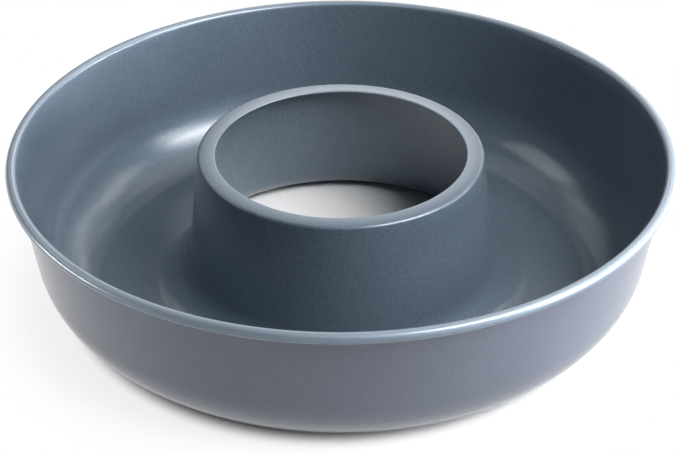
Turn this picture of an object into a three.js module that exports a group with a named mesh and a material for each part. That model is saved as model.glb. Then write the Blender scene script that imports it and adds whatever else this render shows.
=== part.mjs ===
// Savarin mould: a ring-shaped cake mould drawn from one blank of coated steel sheet.
// Millimetres, +Z up. The mould stands on its flat floor ring at z = 0 and is centred on the Z axis.

import * as THREE from 'three';

// Overall sizes.
const rimDiameter = 260;
const rimHeight = 61.2;
const sheet = 0.8;

// Outer wall, the wide heel that turns it towards the floor, and the tighter bend at the floor's edge.
const wallTaper = THREE.MathUtils.degToRad(8);
const heelRadius = 27.5;
const floorEdgeRadius = 6;
const floorEdgeAngle = THREE.MathUtils.degToRad(13);

// Centre tube, its foot and the flat collar left round the pierced hole.
const holeDiameter = 99;
const collarHeight = 56.8;
const tubeTopDiameter = 113;
const shoulderRadius = 2.2;
const tubeTaper = THREE.MathUtils.degToRad(6.5);
const footRadius = 14.5;

// Rolled rim.
const wireDiameter = 2;
const wireClearance = 0.3;
const curlClearance = 0.4;
const wireEndGap = 0.6;

// Fineness of the facets.
const turnSteps = 64;
const wireSides = 10;
const edgeSteps = 4;
const shoulderSteps = 5;
const footSteps = 8;
const floorEdgeSteps = 3;
const heelSteps = 10;
const curlSteps = 16;

// The rim is rolled round its wire, so the wire sets the size of the bead.
const half = sheet / 2;
const curlRadius = wireDiameter / 2 + wireClearance + half;
const beadRadius = curlRadius + half;
const curlR = rimDiameter / 2 - beadRadius;
const curlZ = rimHeight - beadRadius;

// The roll ends where the corner of its cut edge would come too near to the wall.
const curlStart = Math.PI - wallTaper;
const curlEnd = -Math.acos((curlClearance - curlRadius + half) / beadRadius) - wallTaper;

// The wall runs down from the roll into the heel, which meets the floor in the bend at its edge.
const wallTopR = curlR - curlRadius * Math.cos(wallTaper);
const wallTopZ = curlZ + curlRadius * Math.sin(wallTaper);
const heelBend = heelRadius + half;
const floorEdgeBend = floorEdgeRadius + half;
const floorEdgeZ = sheet + floorEdgeRadius;
const heelZ = floorEdgeZ + (heelBend - floorEdgeBend) * Math.cos(floorEdgeAngle);
const wallFootZ = heelZ - heelBend * Math.sin(wallTaper);
const wallFootR = wallTopR - (wallTopZ - wallFootZ) * Math.tan(wallTaper);
const heelR = wallFootR - heelBend * Math.cos(wallTaper);
const floorEdgeR = heelR + (heelBend - floorEdgeBend) * Math.sin(floorEdgeAngle);
const heelStart = Math.PI * 1.5 + floorEdgeAngle;

// The tube runs down from the shoulder of the collar and spreads into the floor in its foot.
const shoulderBend = shoulderRadius - half;
const shoulderR = tubeTopDiameter / 2 - shoulderRadius;
const shoulderZ = collarHeight - shoulderRadius;
const tubeTopR = shoulderR + shoulderBend * Math.cos(tubeTaper);
const tubeTopZ = shoulderZ + shoulderBend * Math.sin(tubeTaper);
const footBend = footRadius + half;
const footZ = sheet + footRadius;
const tubeFootZ = footZ - footBend * Math.sin(tubeTaper);
const tubeFootR = tubeTopR + (tubeTopZ - tubeFootZ) * Math.tan(tubeTaper);
const footR = tubeFootR + footBend * Math.cos(tubeTaper);

function arc(r, z, radius, start, end, steps) {
  const clockwise = end < start;
  return new THREE.EllipseCurve(r, z, radius, radius, start, end, clockwise).getPoints(steps);
}

// One face of the sheet, from the collar out to the end of the roll. The lift is measured from the
// middle of the sheet, towards the inside of the trough.
function sheetFace(lift) {
  return [
    ...arc(shoulderR, shoulderZ, shoulderBend + lift, Math.PI / 2, tubeTaper, shoulderSteps),
    ...arc(footR, footZ, footBend - lift, Math.PI + tubeTaper, Math.PI * 1.5, footSteps),
    ...arc(floorEdgeR, floorEdgeZ, floorEdgeBend - lift, Math.PI * 1.5, heelStart, floorEdgeSteps),
    ...arc(heelR, heelZ, heelBend - lift, heelStart, Math.PI * 2 - wallTaper, heelSteps).slice(1),
    ...arc(curlR, curlZ, curlRadius + lift, curlStart, curlEnd, curlSteps),
  ];
}

// The pierced edge of the collar is dressed round, so the coating runs over it unbroken.
function piercedEdge() {
  const r = holeDiameter / 2 + half;
  const z = collarHeight - half;
  return arc(r, z, half, Math.PI / 2, Math.PI * 1.5, edgeSteps);
}

function shellGeometry() {
  const underside = sheetFace(-half);
  const inside = sheetFace(half).reverse();
  const outline = [...piercedEdge(), ...underside, ...inside];
  outline.push(outline[0].clone());
  const geometry = new THREE.LatheGeometry(outline, turnSteps);
  geometry.rotateX(Math.PI / 2);
  return geometry;
}

// The wire is bent to a ring and its two ends are butted, with a hair of space between them.
class WireRing extends THREE.Curve {
  getPoint(t) {
    const spare = wireEndGap / 2 / curlR;
    const turn = spare + t * (Math.PI * 2 - 2 * spare);
    return new THREE.Vector3(curlR * Math.cos(turn), curlR * Math.sin(turn), curlZ);
  }
}

function wireGeometry() {
  const section = new THREE.Shape(arc(0, 0, wireDiameter / 2, 0, Math.PI * 2, wireSides).slice(0, -1));
  return new THREE.ExtrudeGeometry(section, {
    steps: turnSteps,
    extrudePath: new WireRing(),
    bevelEnabled: false,
  });
}

function piece(name, geometry, look) {
  const mesh = new THREE.Mesh(geometry, new THREE.MeshStandardMaterial(look));
  mesh.name = name;
  return mesh;
}

const coating = { color: 0x56626f, roughness: 0.4, metalness: 0.35 };
const bareWire = { color: 0x9a9c9e, roughness: 0.45, metalness: 1 };

const group = new THREE.Group();
group.name = 'savarin_mould';
group.add(piece('mould_shell', shellGeometry(), coating));
group.add(piece('rim_wire', wireGeometry(), bareWire));

export default group;
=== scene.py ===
# %% [markdown]
# # A savarin mould
#
# A savarin mould is a ring-shaped cake mould. A press draws one round blank of coated steel sheet into a
# trough with a tube in its middle, pierces the top of the tube, and rolls the outer edge round a wire so
# that it is stiff and safe to hold. Almost everything that you see is one thin bent sheet, so this lesson
# spends its time on two things: turning a true sheet section into a smooth mesh, and a satin coating that
# looks right in soft light.
#
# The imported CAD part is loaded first. It never moves: what is built here sits in the same place, in
# metres, and takes over from the CAD solids for the eye only.

# %% Load the frame
import math

import bpy
from mathutils import Matrix, Vector


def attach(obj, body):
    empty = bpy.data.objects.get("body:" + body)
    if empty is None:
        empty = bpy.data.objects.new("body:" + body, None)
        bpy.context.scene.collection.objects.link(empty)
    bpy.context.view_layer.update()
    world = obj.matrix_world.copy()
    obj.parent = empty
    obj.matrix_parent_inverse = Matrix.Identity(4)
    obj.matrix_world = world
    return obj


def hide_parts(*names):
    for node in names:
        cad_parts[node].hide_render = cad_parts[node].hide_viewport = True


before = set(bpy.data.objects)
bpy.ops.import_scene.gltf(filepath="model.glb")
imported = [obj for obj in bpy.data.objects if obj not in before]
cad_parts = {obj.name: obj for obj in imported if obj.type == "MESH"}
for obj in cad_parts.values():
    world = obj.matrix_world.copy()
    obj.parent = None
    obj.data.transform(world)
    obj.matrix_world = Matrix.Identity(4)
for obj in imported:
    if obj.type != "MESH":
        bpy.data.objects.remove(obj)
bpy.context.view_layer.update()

# %% [markdown]
# ## The sizes of the mould
#
# These are the driving sizes of the part, in metres. They could be measured off the facets of the CAD
# mesh, but a facet only touches the true round at its corners. Naming the sizes again lets the mesh here
# follow the true curve. Only the shoulder of the collar is drawn a little tighter than in the CAD, because
# it looks crisp on the real mould.

# %% Name the sizes
RIM_DIAMETER = 0.260
RIM_HEIGHT = 0.0612
SHEET = 0.0008

WALL_TAPER = math.radians(8)
HEEL_RADIUS = 0.0275
FLOOR_EDGE_RADIUS = 0.006
FLOOR_EDGE_ANGLE = math.radians(13)

HOLE_DIAMETER = 0.099
COLLAR_HEIGHT = 0.0568
TUBE_TOP_DIAMETER = 0.113
SHOULDER_RADIUS = 0.0013
TUBE_TAPER = math.radians(6.5)
FOOT_RADIUS = 0.0145

WIRE_DIAMETER = 0.002
WIRE_CLEARANCE = 0.0003
CURL_CLEARANCE = 0.0004
WIRE_END_GAP = 0.0006

# %% [markdown]
# ## The section of the sheet
#
# Cut the mould through its axis and you see one line, as thick as the sheet, that runs from the pierced
# edge across the collar, down the tube, over the floor, up the wall and round the rolled rim. The middle
# of the sheet is worked out first. Each bend is an arc that touches its neighbours, so no corner shows
# where they meet.

# %% Work out where each bend has its centre
half = SHEET / 2

curl_bend = WIRE_DIAMETER / 2 + WIRE_CLEARANCE + half
bead_radius = curl_bend + half
curl_r = RIM_DIAMETER / 2 - bead_radius
curl_z = RIM_HEIGHT - bead_radius
curl_start = math.pi - WALL_TAPER
curl_end = -math.acos((CURL_CLEARANCE - curl_bend + half) / bead_radius) - WALL_TAPER

wall_top_r = curl_r - curl_bend * math.cos(WALL_TAPER)
wall_top_z = curl_z + curl_bend * math.sin(WALL_TAPER)
heel_bend = HEEL_RADIUS + half
floor_edge_bend = FLOOR_EDGE_RADIUS + half
floor_edge_z = SHEET + FLOOR_EDGE_RADIUS
heel_z = floor_edge_z + (heel_bend - floor_edge_bend) * math.cos(FLOOR_EDGE_ANGLE)
wall_foot_z = heel_z - heel_bend * math.sin(WALL_TAPER)
wall_foot_r = wall_top_r - (wall_top_z - wall_foot_z) * math.tan(WALL_TAPER)
heel_r = wall_foot_r - heel_bend * math.cos(WALL_TAPER)
floor_edge_r = heel_r + (heel_bend - floor_edge_bend) * math.sin(FLOOR_EDGE_ANGLE)

shoulder_bend = SHOULDER_RADIUS - half
shoulder_r = TUBE_TOP_DIAMETER / 2 - SHOULDER_RADIUS
shoulder_z = COLLAR_HEIGHT - SHOULDER_RADIUS
tube_top_r = shoulder_r + shoulder_bend * math.cos(TUBE_TAPER)
tube_top_z = shoulder_z + shoulder_bend * math.sin(TUBE_TAPER)
foot_bend = FOOT_RADIUS + half
foot_z = SHEET + FOOT_RADIUS
tube_foot_z = foot_z - foot_bend * math.sin(TUBE_TAPER)
tube_foot_r = tube_top_r + (tube_top_z - tube_foot_z) * math.tan(TUBE_TAPER)
foot_r = tube_foot_r + foot_bend * math.cos(TUBE_TAPER)

print("flat floor ring from", round(foot_r, 5), "to", round(floor_edge_r, 5))

# %% [markdown]
# A straight stretch needs few points, but shading is blended from point to point. Without a point close
# to each end, the bend's shading would creep out over the flat, and the crisp line where the floor starts
# to rise would be lost. So each straight stretch gets a guard point near both of its ends.

# %% Draw bends and straight stretches as points
BEND_STEP = math.radians(4)
GUARD = 0.0005
LONGEST_STEP = 0.006


def bend(r, z, radius, start, end, step=BEND_STEP):
    count = max(2, math.ceil(abs(end - start) / step))
    turns = [start + (end - start) * i / count for i in range(count + 1)]
    return [(r + radius * math.cos(t), z + radius * math.sin(t)) for t in turns]


def straight(a, b):
    length = math.dist(a, b)
    count = max(1, math.ceil((length - 2 * GUARD) / LONGEST_STEP))
    places = [GUARD + (length - 2 * GUARD) * i / count for i in range(count + 1)]
    return [(a[0] + (b[0] - a[0]) * p / length, a[1] + (b[1] - a[1]) * p / length) for p in places]


def joined(bends):
    line = list(bends[0])
    for following in bends[1:]:
        line += straight(line[-1], following[0]) + following
    return line


print("the foot of the tube has", len(bend(0, 0, foot_bend, math.pi + TUBE_TAPER, math.pi * 1.5)), "points")

# %% [markdown]
# Both faces of the sheet are the same line, lifted by half the sheet to either side. The pierced edge of
# the collar is dressed round. The other edge ends inside the roll, where it was sheared, so it stays
# square with its corners just broken.

# %% Draw the whole outline of the sheet
CURL_STEP = math.radians(6)
EDGE_STEP = math.radians(15)
CORNER = 0.00012


def heel(lift):
    start = math.pi * 1.5 + FLOOR_EDGE_ANGLE
    floor_edge = bend(floor_edge_r, floor_edge_z, floor_edge_bend - lift, math.pi * 1.5, start)
    return floor_edge[:-1] + bend(heel_r, heel_z, heel_bend - lift, start, math.pi * 2 - WALL_TAPER)


def sheet_face(lift):
    return joined([
        bend(shoulder_r, shoulder_z, shoulder_bend + lift, math.pi / 2, TUBE_TAPER),
        bend(foot_r, foot_z, foot_bend - lift, math.pi + TUBE_TAPER, math.pi * 1.5),
        heel(lift),
        bend(curl_r, curl_z, curl_bend + lift, curl_start, curl_end, CURL_STEP),
    ])


def sheared_corner(lift):
    reach = curl_bend + lift - math.copysign(CORNER, lift)
    middle = (curl_r + reach * math.cos(curl_end), curl_z + reach * math.sin(curl_end))
    along = curl_end - math.pi / 2
    away = curl_end if lift > 0 else curl_end + math.pi
    between = along + 0.5 * (math.remainder(away - along, math.tau))
    return [(middle[0] + CORNER * math.cos(t), middle[1] + CORNER * math.sin(t)) for t in (between, along)]


def pierced_edge():
    return bend(HOLE_DIAMETER / 2 + half, COLLAR_HEIGHT - half, half, math.pi * 1.5, math.pi / 2, EDGE_STEP)


edge = pierced_edge()
inside = sheet_face(half)
underside = sheet_face(-half)
inside = straight(edge[-1], inside[0]) + inside
underside = straight(edge[0], underside[0]) + underside
corner_in = sheared_corner(half)
corner_out = sheared_corner(-half)
outline = edge + inside + corner_in + corner_out[::-1] + underside[::-1]
cut_from = len(edge) + len(inside) + len(corner_in) - 1
print("the section has", len(outline), "points")

# %% [markdown]
# ## Turning the section
#
# Blender's Screw modifier and bmesh's spin can both turn a section round an axis. Here the rings are
# written out in code instead, because the code then knows which face lies where. That gives each face its
# place on a clean unrolled map, and lets the sheared edge have a finish of its own.

# %% Turn the section into the pressed shell
TURN_STEPS = 192
MAP_NAME = "OFBake"


def unrolled(mesh, outline, columns):
    lengths = [0.0]
    for a, b in zip(outline, outline[1:] + outline[:1]):
        lengths.append(lengths[-1] + math.dist(a, b))
    layer = mesh.uv_layers.new(name=MAP_NAME)
    for face in mesh.polygons:
        column, row = divmod(face.index, len(outline))
        corners = ((column, row), (column, row + 1), (column + 1, row + 1), (column + 1, row))
        for loop, (c, r) in zip(face.loop_indices, corners):
            layer.data[loop].uv = (c / columns, lengths[r] / lengths[-1])


def turned(name, outline, columns):
    count = len(outline)
    points = []
    for c in range(columns):
        turn = math.tau * c / columns
        points += [(r * math.cos(turn), r * math.sin(turn), z) for r, z in outline]
    faces = []
    for c in range(columns):
        here, there = c * count, (c + 1) % columns * count
        for i in range(count):
            j = (i + 1) % count
            faces.append((here + i, here + j, there + j, there + i))
    mesh = bpy.data.meshes.new(name)
    mesh.from_pydata(points, [], faces)
    mesh.shade_smooth()
    unrolled(mesh, outline, columns)
    piece = bpy.data.objects.new(name, mesh)
    bpy.context.scene.collection.objects.link(piece)
    return piece


shell = turned("pressed_shell", outline, TURN_STEPS)
print("pressed shell:", len(shell.data.polygons), "faces")

# %% [markdown]
# ## The rim wire
#
# The edge of the sheet is rolled round a ring of steel wire. The roll hides it, but from below a sliver
# of it shows in the slit, and its two ends butt together somewhere. A curve with a round bevel would do,
# but its ends could not be cut and broken like real wire, so the rings are written out here too.

# %% Bend the wire to a ring
WIRE_STEPS = 160
WIRE_SIDES = 16
END_CHAMFER = 0.0002


def wire_ring(name):
    spare = WIRE_END_GAP / 2 / curl_r
    start = spare + END_CHAMFER / curl_r
    span = math.tau - 2 * start
    radius = WIRE_DIAMETER / 2
    tip = radius - END_CHAMFER
    full_rings = [(start + span * i / WIRE_STEPS, radius) for i in range(WIRE_STEPS + 1)]
    rings = [(spare, tip)] + full_rings + [(math.tau - spare, tip)]
    points = []
    for turn, size in rings:
        for s in range(WIRE_SIDES):
            side = math.tau * s / WIRE_SIDES
            r = curl_r + size * math.cos(side)
            points.append((r * math.cos(turn), r * math.sin(turn), curl_z + size * math.sin(side)))
    faces = []
    for k in range(len(rings) - 1):
        for s in range(WIRE_SIDES):
            t = (s + 1) % WIRE_SIDES
            a, b = k * WIRE_SIDES, (k + 1) * WIRE_SIDES
            faces.append((a + s, b + s, b + t, a + t))
    last = (len(rings) - 1) * WIRE_SIDES
    faces.append(tuple(range(WIRE_SIDES)))
    faces.append(tuple(reversed(range(last, last + WIRE_SIDES))))
    mesh = bpy.data.meshes.new(name)
    mesh.from_pydata(points, [], faces)
    mesh.shade_smooth()
    piece = bpy.data.objects.new(name, mesh)
    bpy.context.scene.collection.objects.link(piece)
    return piece


wire = wire_ring("rim_wire_ring")
print("rim wire:", len(wire.data.polygons), "faces")

# %% [markdown]
# ## Marking the rubbed edges, with a painted highlight on them
#
# A coated mould wears first where it is held, stacked and hung: on the crest of the rolled rim and round
# the pierced edge of the collar. The paler tone there is partly that wear and partly a painted highlight
# for the bright lines that these round edges catch. Pointiness nodes can find such places, but they need a
# dense mesh. The section already knows where each ring of points lies, so each point stores its share of
# wear and painted highlight, from 0 to 1.

# %% Store the rub and painted highlight, and the run of the wire, on the points
# How far the rub and its painted highlight reach from the rim crest and the pierced edge.
RUB_AND_HIGHLIGHT_REACH = 0.0026


def rub_and_highlight_share(r, z):
    from_edge = math.dist((r, z), (HOLE_DIAMETER / 2 + half, COLLAR_HEIGHT - half))
    from_crest = RIM_HEIGHT - z if r > wall_top_r else RUB_AND_HIGHLIGHT_REACH
    return max(0.0, 1.0 - min(from_edge, from_crest) / RUB_AND_HIGHLIGHT_REACH)


# Each point's share of wear and painted highlight, from 0 to 1.
rub_and_highlight = shell.data.attributes.new("rub_and_highlight", "FLOAT", "POINT")
rub_and_highlight.data.foreach_set("value", [rub_and_highlight_share(r, z) for r, z in outline] * TURN_STEPS)

drawn = wire.data.attributes.new("drawn", "FLOAT_VECTOR", "POINT")
for point, place in zip(wire.data.vertices, drawn.data):
    across = math.hypot(point.co.x, point.co.y) - curl_r
    along = math.atan2(point.co.y, point.co.x)
    place.vector = (across / WIRE_DIAMETER, (point.co.z - curl_z) / WIRE_DIAMETER, along)

print("rubbed rings:", sum(rub_and_highlight_share(r, z) > 0 for r, z in outline), "of", len(outline))

# %% [markdown]
# The trough, the collar and the rolled rim carry the non-stick coat. The outside of the wall takes a darker
# and greyer copy of it, which is painted shade for the dimmer, greyer light on the outer wall. The two meet
# out of sight, in the roll and under the floor, so a soft mask is enough: 0 on the non-stick side and in
# the tube, 1 on the outside of the wall.

# %% Store which side of the sheet is the outside
under_from = len(outline) - len(underside)


def outside(i, r):
    if i < under_from:
        return 0.0
    return min(1.0, max(0.0, (r - foot_r) / (floor_edge_r - foot_r)))


side = shell.data.attributes.new("outside", "FLOAT", "POINT")
side.data.foreach_set("value", [outside(i, r) for i, (r, z) in enumerate(outline)] * TURN_STEPS)
print("outside rings:", sum(outside(i, r) == 1 for i, (r, z) in enumerate(outline)))

# %% [markdown]
# ## Helpers for the finishes
#
# A finish is a small tree of nodes. The helpers below make one node and set each of its inputs to a
# number, or link it to another node's output, so that a finish reads from top to bottom like a recipe. A
# node that mixes colours keeps sockets for numbers and vectors too, so its colours are the inputs 6 and 7
# and its output is 2.

# %% Helpers that place a node
MIX_FIRST = 6
MIX_SECOND = 7
MIX_RESULT = 2


def feed(tree, node, inputs):
    for name, value in inputs.items():
        if isinstance(value, bpy.types.NodeSocket):
            tree.links.new(value, node.inputs[name])
        else:
            node.inputs[name].default_value = value


def placed(tree, kind, inputs=None, **settings):
    node = tree.nodes.new("ShaderNode" + kind)
    for name, value in settings.items():
        setattr(node, name, value)
    feed(tree, node, inputs or {})
    return node


def worked_out(tree, operation, *values):
    return placed(tree, "Math", dict(enumerate(values)), operation=operation).outputs[0]


def mixed(tree, factor, first, second):
    inputs = {"Factor": factor, MIX_FIRST: first, MIX_SECOND: second}
    return placed(tree, "Mix", inputs, data_type="RGBA").outputs[MIX_RESULT]


def spread_over(tree, value, low, high):
    return placed(tree, "MapRange", {"Value": value, "To Min": low, "To Max": high}).outputs["Result"]


def bumped(tree, height, depth):
    return placed(tree, "Bump", {"Height": height, "Strength": 1.0, "Distance": depth}).outputs["Normal"]


# %% [markdown]
# A node group and a finish each start from an almost empty tree. The group gets its named sockets, and
# the finish keeps the one shader that Blender puts in.

# %% Helpers that start a group and a finish
def new_group(name, inputs, outputs):
    tree = bpy.data.node_groups.new(name, "ShaderNodeTree")
    for label, value in inputs.items():
        socket = tree.interface.new_socket(label, in_out="INPUT", socket_type="NodeSocketFloat")
        socket.default_value = value
    for label in outputs:
        tree.interface.new_socket(label, in_out="OUTPUT", socket_type="NodeSocketFloat")
    return tree, tree.nodes.new("NodeGroupInput").outputs


def new_finish(name):
    finish = bpy.data.materials.new(name)
    finish.use_nodes = True
    return finish, finish.node_tree, finish.node_tree.nodes["Principled BSDF"]


# %% [markdown]
# ## Two effects that the finishes share
#
# A sprayed and baked coating is never quite smooth: it dries with a fine skin like orange peel, about a
# millimetre from crest to crest. Rolled steel and paper have a tooth of the same kind, only finer, so one
# node group serves them all. Noise at two sizes makes it. A Voronoi pattern would give rounder cells, but
# at this size the eye can't tell.

# %% Node group: skin grain
WIDE_GRAINS = 0.35
WIDE_HEIGHT = 1.2
FLECK_LOW = 0.34
FLECK_HIGH = 0.66


def skin_grain():
    tree, given = new_group("skin_grain", {"Grains per metre": 1000.0}, ["Fleck", "Height"])
    place = placed(tree, "TexCoord").outputs["Object"]
    wide_scale = worked_out(tree, "MULTIPLY", given["Grains per metre"], WIDE_GRAINS)
    fine = placed(tree, "TexNoise", {"Vector": place, "Scale": given["Grains per metre"], "Detail": 1.5})
    wide = placed(tree, "TexNoise", {"Vector": place, "Scale": wide_scale, "Detail": 1.0})
    limits = {"From Min": FLECK_LOW, "From Max": FLECK_HIGH}
    fleck = placed(tree, "MapRange", {"Value": fine.outputs["Fac"], **limits})
    height = worked_out(tree, "MULTIPLY_ADD", wide.outputs["Fac"], WIDE_HEIGHT, fine.outputs["Fac"])
    out = tree.nodes.new("NodeGroupOutput")
    tree.links.new(fleck.outputs["Result"], out.inputs["Fleck"])
    tree.links.new(height, out.inputs["Height"])
    return tree


SKIN_GRAIN = skin_grain()
print("skin grain:", len(SKIN_GRAIN.nodes), "nodes")

# %% [markdown]
# No finish has the same tone all over. Film thickness drifts over centimetres, and so does the colour of
# bare steel. The second group gives a slow tone between 0 and 1 that each finish uses with its own
# strength.

# %% Node group: slow drift
CLOUD_LOW = 0.3
CLOUD_HIGH = 0.7


def slow_drift():
    tree, given = new_group("slow_drift", {"Patches per metre": 15.0}, ["Tone"])
    place = placed(tree, "TexCoord").outputs["Object"]
    cloud = placed(tree, "TexNoise", {"Vector": place, "Scale": given["Patches per metre"], "Detail": 2.0})
    limits = {"From Min": CLOUD_LOW, "From Max": CLOUD_HIGH}
    tone = placed(tree, "MapRange", {"Value": cloud.outputs["Fac"], **limits})
    out = tree.nodes.new("NodeGroupOutput")
    tree.links.new(tone.outputs["Result"], out.inputs["Tone"])
    return tree


SLOW_DRIFT = slow_drift()
print("slow drift:", len(SLOW_DRIFT.nodes), "nodes")

# %% [markdown]
# ## The non-stick coating
#
# The coating is a dark blue-grey film with fine metal flakes in it, under a clear satin skin. The flakes
# lie nearly flat, so they mirror the light in a broad blur, and the sides of the mould that turn away
# from a lamp darken sooner than plain paint would. Half metal with a high roughness gives that, and Coat
# adds the skin's sharper gloss. Two tones are mixed by the grain, which gives the faint speckle, and the
# slow drift moves the whole a little. The outside of the wall gets a darker and greyer copy of the two
# tones, which is painted shade. Where the coat is rubbed it is paler, which is partly wear and partly a
# painted highlight on the rim and the pierced edge.

# %% Finish: satin coating
COAT_DEEP = (0.083, 0.112, 0.145, 1)
COAT_PALE = (0.121, 0.160, 0.205, 1)
# Paler tone on the rim crest and the pierced edge: partly wear, partly a painted highlight.
COAT_RUBBED_AND_HIGHLIGHT = (0.205, 0.250, 0.302, 1)
# A darker, greyer copy of the coat on the outer wall: painted shade.
SHADED_OUTSIDE_DEEP = (0.073, 0.084, 0.113, 1)
SHADED_OUTSIDE_PALE = (0.094, 0.107, 0.143, 1)

COAT_GRAINS = 1050
COAT_PATCHES = 16
FLECK_SHARE = 0.55
DRIFT_SHARE = 0.45
FLAKE_ROUGHNESS = (0.54, 0.62)
PEEL_DEPTH = 0.000024
FLAKE_METAL = 0.5
SKIN_ROUGHNESS = 0.2


def satin_coating():
    finish, tree, shader = new_finish("satin_coating")
    grain = placed(tree, "Group", {"Grains per metre": COAT_GRAINS}, node_tree=SKIN_GRAIN).outputs
    drift = placed(tree, "Group", {"Patches per metre": COAT_PATCHES}, node_tree=SLOW_DRIFT).outputs
    tone = worked_out(tree, "MULTIPLY", drift["Tone"], DRIFT_SHARE)
    both = worked_out(tree, "MULTIPLY_ADD", grain["Fleck"], FLECK_SHARE, tone)

    nonstick = mixed(tree, both, COAT_DEEP, COAT_PALE)
    # Painted shade: the outer wall takes the darker, greyer copy of the tones.
    shaded_outside_tone = mixed(tree, both, SHADED_OUTSIDE_DEEP, SHADED_OUTSIDE_PALE)
    side = placed(tree, "Attribute", attribute_name="outside").outputs["Fac"]
    # Painted highlight and wear: the rim crest and the pierced edge turn paler.
    wear_and_highlight = placed(tree, "Attribute", attribute_name="rub_and_highlight").outputs["Fac"]
    tone_with_shaded_outside = mixed(tree, side, nonstick, shaded_outside_tone)

    feed(tree, shader, {
        "Base Color": mixed(tree, wear_and_highlight, tone_with_shaded_outside, COAT_RUBBED_AND_HIGHLIGHT),
        "Roughness": spread_over(tree, both, *FLAKE_ROUGHNESS),
        "Normal": bumped(tree, grain["Height"], PEEL_DEPTH),
        "Metallic": FLAKE_METAL,
        "Specular IOR Level": 0.0,
        "Coat Weight": 1.0,
        "Coat Roughness": SKIN_ROUGHNESS,
    })
    return finish


COATING = satin_coating()
print("satin coating:", len(COATING.node_tree.nodes), "nodes")

# %% [markdown]
# ## Bare steel
#
# Two places show steel: the sheared edge inside the roll, which was cut after coating, and the wire. The
# cut face is torn and dull. The wire was pulled through a die, so its lines run along it. For them the
# noise reads the points' stored places, which change quickly round the wire and slowly along it.

# %% Finishes: sheared steel and drawn wire
STEEL_DARK = (0.30, 0.31, 0.32, 1)
STEEL_PALE = (0.52, 0.53, 0.54, 1)

TEAR_GRAINS = 4200
TEAR_ROUGHNESS = (0.38, 0.6)
TEAR_DEPTH = 0.000012

WIRE_PATCHES = 40
LINES_ROUND = 14.0
LINE_ROUGHNESS = (0.28, 0.5)
LINE_DEPTH = 0.000008


def sheared_steel():
    finish, tree, shader = new_finish("sheared_steel")
    grain = placed(tree, "Group", {"Grains per metre": TEAR_GRAINS}, node_tree=SKIN_GRAIN).outputs
    feed(tree, shader, {
        "Base Color": mixed(tree, grain["Fleck"], STEEL_DARK, STEEL_PALE),
        "Roughness": spread_over(tree, grain["Fleck"], *TEAR_ROUGHNESS),
        "Normal": bumped(tree, grain["Height"], TEAR_DEPTH),
        "Metallic": 1.0,
    })
    return finish


def drawn_wire():
    finish, tree, shader = new_finish("drawn_wire")
    drift = placed(tree, "Group", {"Patches per metre": WIRE_PATCHES}, node_tree=SLOW_DRIFT).outputs
    run = placed(tree, "Attribute", attribute_name="drawn").outputs["Vector"]
    lines = placed(tree, "TexNoise", {"Vector": run, "Scale": LINES_ROUND, "Detail": 4.0}).outputs["Fac"]
    feed(tree, shader, {
        "Base Color": mixed(tree, drift["Tone"], STEEL_DARK, STEEL_PALE),
        "Roughness": spread_over(tree, lines, *LINE_ROUGHNESS),
        "Normal": bumped(tree, lines, LINE_DEPTH),
        "Metallic": 1.0,
    })
    return finish


SHEARED = sheared_steel()
WIRE_STEEL = drawn_wire()
print("steel finishes:", SHEARED.name, WIRE_STEEL.name)

# %% [markdown]
# The coating goes on the whole shell, then the faces of the one sheared strip are given the steel. The
# rows of the mesh follow the outline, so the strip is found by counting and not by looking at each face.

# %% Put the finishes on
shell.data.materials.append(COATING)
shell.data.materials.append(SHEARED)
sheared = [face for face in shell.data.polygons if face.index % len(outline) == cut_from]
for face in sheared:
    face.material_index = 1
wire.data.materials.append(WIRE_STEEL)
print("sheared strip:", len(sheared), "faces")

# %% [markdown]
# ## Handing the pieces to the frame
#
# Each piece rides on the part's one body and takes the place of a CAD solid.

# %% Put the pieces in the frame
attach(shell, "root")
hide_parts("mould_shell")
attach(wire, "root")
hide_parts("rim_wire")
print("pieces:", shell.name, wire.name)

# %% [markdown]
# ## The camera
#
# The mould is seen from the front, about 32 degrees above its floor, with a lens of moderate length. The
# near side of the rim is about a fifth larger than the far side, and that sets the distance. The lens
# then sets the size in the picture. A small roll levels the rim as it lies there.

# %% Camera
CAMERA_DISTANCE = 0.700
CAMERA_ELEVATION = math.radians(32.529)
CAMERA_AIM = Vector((-0.0007, 0.0, 0.02136))
CAMERA_ROLL = math.radians(0.279)
CAMERA_LENS = 91.88

camera = bpy.data.objects.new("camera", bpy.data.cameras.new("camera"))
bpy.context.scene.collection.objects.link(camera)
back = Vector((0, -math.cos(CAMERA_ELEVATION), math.sin(CAMERA_ELEVATION)))
looking = (-back).to_track_quat("-Z", "Y").to_matrix()
levelled = looking @ Matrix.Rotation(-CAMERA_ROLL, 3, "Z")
camera.matrix_world = Matrix.Translation(CAMERA_AIM + back * CAMERA_DISTANCE) @ levelled.to_4x4()
camera.data.sensor_width = 36
camera.data.lens = CAMERA_LENS
camera.data.clip_start = 0.01
bpy.context.scene.camera = camera
print("camera at", [round(v, 3) for v in camera.matrix_world.translation])

# %% [markdown]
# ## The floor
#
# The mould stands on white paper that is over-exposed away from it, so only a soft shadow is left close
# by and the floor inside the tube stays dim. More light would also whiten the mould. Instead the paper
# glows white, but only for what the camera or a mirror image sees, and only away from the mould: the glow
# grows with the distance from the axis. Light that bounces off the paper onto the mould is that of plain
# paper, and Diffuse Depth keeps the glow out of light that a dull surface has scattered on its way. From
# below the paper is clear, so that the underside can be looked at.

# %% Floor
FLOOR_REACH = 8.0
PAPER_DEEP = (0.77, 0.77, 0.77, 1)
PAPER_PALE = (0.80, 0.80, 0.80, 1)
PAPER_GRAINS = 700

GLOW_FROM = 0.1044
GLOW_HALF = 0.1145
GLOW_FULL = 0.150
GLOW_AT_HALF = 0.84


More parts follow.
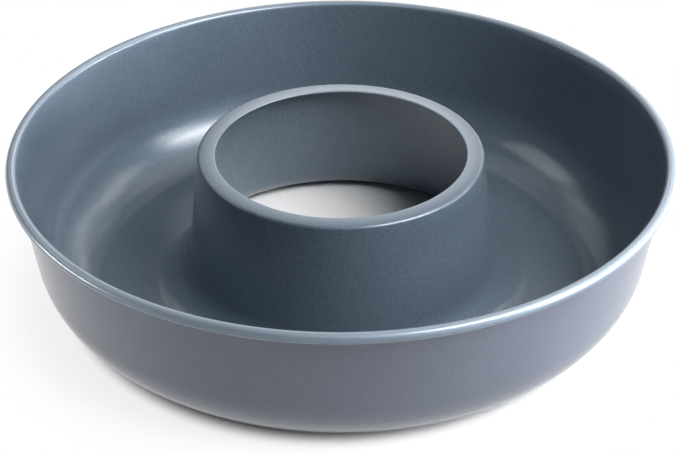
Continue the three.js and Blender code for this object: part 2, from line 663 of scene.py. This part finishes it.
def seen_directly(tree):
    path = placed(tree, "LightPath").outputs
    glossy = worked_out(tree, "MAXIMUM", path["Is Glossy Ray"], path["Is Transmission Ray"])
    unscattered = worked_out(tree, "LESS_THAN", path["Diffuse Depth"], 0.5)
    return path["Is Camera Ray"], worked_out(tree, "MULTIPLY", glossy, unscattered)


def rise(tree, distance, start, end, amount):
    limits = {"From Min": start, "From Max": end, "To Max": amount}
    step = placed(tree, "MapRange", {"Value": distance, **limits}, interpolation_type="SMOOTHSTEP")
    return step.outputs["Result"]


def white_paper():
    finish, tree, shader = new_finish("white_paper")
    tooth = placed(tree, "Group", {"Grains per metre": PAPER_GRAINS}, node_tree=SKIN_GRAIN).outputs
    colour = mixed(tree, tooth["Fleck"], PAPER_DEEP, PAPER_PALE)
    feed(tree, shader, {"Base Color": colour, "Roughness": 1.0, "Specular IOR Level": 0.0})

    place = placed(tree, "TexCoord").outputs["Object"]
    distance = placed(tree, "VectorMath", {0: place}, operation="LENGTH").outputs["Value"]
    near = rise(tree, distance, GLOW_FROM, GLOW_HALF, GLOW_AT_HALF)
    far = rise(tree, distance, GLOW_HALF, GLOW_FULL, 1.0 - GLOW_AT_HALF)
    seen = worked_out(tree, "MAXIMUM", *seen_directly(tree))
    amount = worked_out(tree, "MULTIPLY", worked_out(tree, "ADD", near, far), seen)

    glow = placed(tree, "Emission", {"Color": (1, 1, 1, 1), "Strength": 1.0})
    lit = placed(tree, "MixShader", {0: amount, 1: shader.outputs[0], 2: glow.outputs[0]})
    below = placed(tree, "NewGeometry").outputs["Backfacing"]
    clear = placed(tree, "BsdfTransparent")
    both = placed(tree, "MixShader", {0: below, 1: lit.outputs[0], 2: clear.outputs[0]})
    tree.links.new(both.outputs[0], tree.nodes["Material Output"].inputs["Surface"])
    return finish


floor_mesh = bpy.data.meshes.new("floor")
corners = [(-FLOOR_REACH, -FLOOR_REACH, 0), (FLOOR_REACH, -FLOOR_REACH, 0),
           (FLOOR_REACH, FLOOR_REACH, 0), (-FLOOR_REACH, FLOOR_REACH, 0)]
floor_mesh.from_pydata(corners, [], [(0, 1, 2, 3)])
floor_mesh.materials.append(white_paper())
floor = bpy.data.objects.new("floor", floor_mesh)
bpy.context.scene.collection.objects.link(floor)
print("floor:", 2 * FLOOR_REACH, "m square")

# %% [markdown]
# ## The light
#
# Two softboxes to the right and in front light the trough. Their mirror image is the bright patch on the
# heel at the back left, and a larger, weaker box on the left makes the soft patch across from it. The
# other lamps are panels in rows round the mould. The flat collar and the heel mirror those behind it.
# Those at the foot, almost level with the floor, reach the outer wall and not the trough.
#
# A lamp is placed by its direction: degrees round the mould from the camera's side, and degrees up from
# the floor. Its brightness is given against white paper in plain light, and its power follows from its
# size.

# %% Lamps
# A box: degrees round, degrees up, distance, width, height, brightness.
SOFTBOXES = {
    "key": (48, 51, 1.0, 0.42, 0.40, 18.0),
    "key_side": (77, 45, 1.0, 0.28, 0.32, 7.6),
    "left_side": (259, 37, 1.3, 0.60, 0.46, 2.1),
}
# A row of panels: degrees up, width, height, and the brightness at each place round.
PANEL_DISTANCE = 1.3
PANEL_ROWS = {
    "foot": (2, 0.62, 0.10, {72: 34.0, 90: 116.0, 108: 96.0, 270: 44.0}),
    "low": (8, 0.62, 0.16, {70: 6.0, 95: 17.0, 270: 1.0}),
    "middle": (25, 0.58, 0.24, {68: 9.0, 120: 0.7, 148: 2.8, 174: 4.0, 210: 0.7}),
    "upper": (37, 0.56, 0.30, {65: 13.0, 120: 3.4, 148: 1.2, 176: 0.5, 210: 1.0, 235: 1.0}),
    "high": (57, 0.55, 0.45, {90: 1.2, 135: 1.5, 180: 1.3, 225: 0.8}),
}


def soft_lamp(name, azimuth, elevation, distance, width, height, brightness):
    data = bpy.data.lights.new(name, "AREA")
    data.shape = "RECTANGLE"
    data.size, data.size_y = width, height
    data.energy = brightness * math.pi * width * height
    lamp = bpy.data.objects.new(name, data)
    a, e = math.radians(azimuth), math.radians(elevation)
    away = Vector((math.sin(a) * math.cos(e), -math.cos(a) * math.cos(e), math.sin(e)))
    lamp.location = away * distance
    lamp.rotation_euler = (-away).to_track_quat("-Z", "Y").to_euler()
    lamp.visible_camera = False
    bpy.context.scene.collection.objects.link(lamp)
    return lamp


for box_name, box_place in SOFTBOXES.items():
    soft_lamp(box_name, *box_place)
for row_name, (elevation, width, height, panels) in PANEL_ROWS.items():
    for azimuth, brightness in panels.items():
        soft_lamp(f"{row_name}_{azimuth}", azimuth, elevation, PANEL_DISTANCE, width, height, brightness)

# %% [markdown]
# Behind everything is a white backdrop. The camera sees it white at any height. A mirror image sees it
# white near the horizon only, because above that the studio is dark.

# %% Backdrop and view
ROOM_LIGHT = 0.01
BACKDROP_TOP = 0.07

world = bpy.data.worlds.new("studio")
bpy.context.scene.world = world
world.use_nodes = True
sky = world.node_tree
upward = placed(sky, "SeparateXYZ", {0: placed(sky, "TexCoord").outputs["Generated"]}).outputs["Z"]
limits = {"From Min": 0.0, "From Max": BACKDROP_TOP, "To Min": 1.0, "To Max": 0.0}
low_part = placed(sky, "MapRange", {"Value": upward, **limits}).outputs["Result"]
to_camera, mirrored = seen_directly(sky)
shown = worked_out(sky, "MAXIMUM", to_camera, worked_out(sky, "MULTIPLY", mirrored, low_part))
dim = sky.nodes["Background"]
feed(sky, dim, {"Color": (1, 1, 1, 1), "Strength": ROOM_LIGHT})
white = placed(sky, "Background", {"Color": (1, 1, 1, 1), "Strength": 1.0})
seen_world = placed(sky, "MixShader", {0: shown, 1: dim.outputs[0], 2: white.outputs[0]})
sky.links.new(seen_world.outputs[0], sky.nodes["World Output"].inputs["Surface"])

bpy.context.scene.view_settings.view_transform = "Standard"
print("room light", ROOM_LIGHT)
